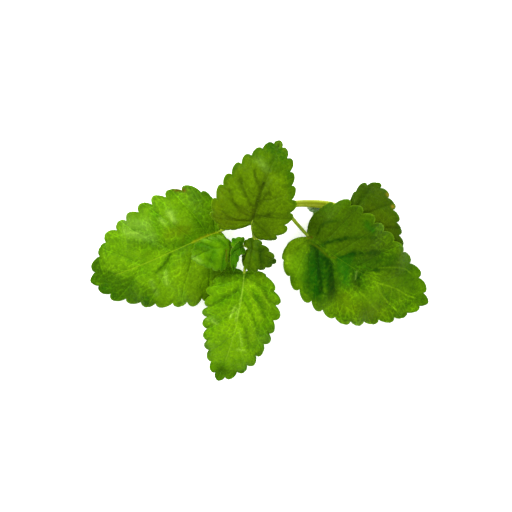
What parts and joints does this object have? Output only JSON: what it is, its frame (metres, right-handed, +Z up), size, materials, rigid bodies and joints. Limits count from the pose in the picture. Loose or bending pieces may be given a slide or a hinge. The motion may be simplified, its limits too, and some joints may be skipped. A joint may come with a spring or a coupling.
{
  "type": "lemon balm sprig",
  "caption": "Cut sprig of lemon balm lying on a surface: square stem with crossed pairs of heart-shaped, round-toothed, puckered leaves.",
  "frame": {"origin": "on the surface the sprig lies on, under the middle of its bounding box", "axes": "+Z up from the surface, +X towards the cut end's side, from the large left leaf to the large right leaf"},
  "size_m": [0.1256, 0.0882, 0.0335],
  "materials": {
    "stem": "satin, green and fresh",
    "large_leaf": "satin, puckered, finely hairy",
    "dark_leaf": "satin, puckered, finely hairy",
    "young_leaf": "satin, finely hairy",
    "shoot": "pale, downy"
  },
  "bodies": {
    "root": {"stem": "stem", "leaf_left": "large_leaf", "leaf_right": "large_leaf", "leaf_upper": "large_leaf", "leaf_lower": "large_leaf", "leaf_back": "dark_leaf", "leaf_under": "dark_leaf", "young_leaf_left": "young_leaf", "young_leaf_right": "young_leaf", "bud": "shoot", "side_shoot": "shoot"}
  },
  "joints": []
}
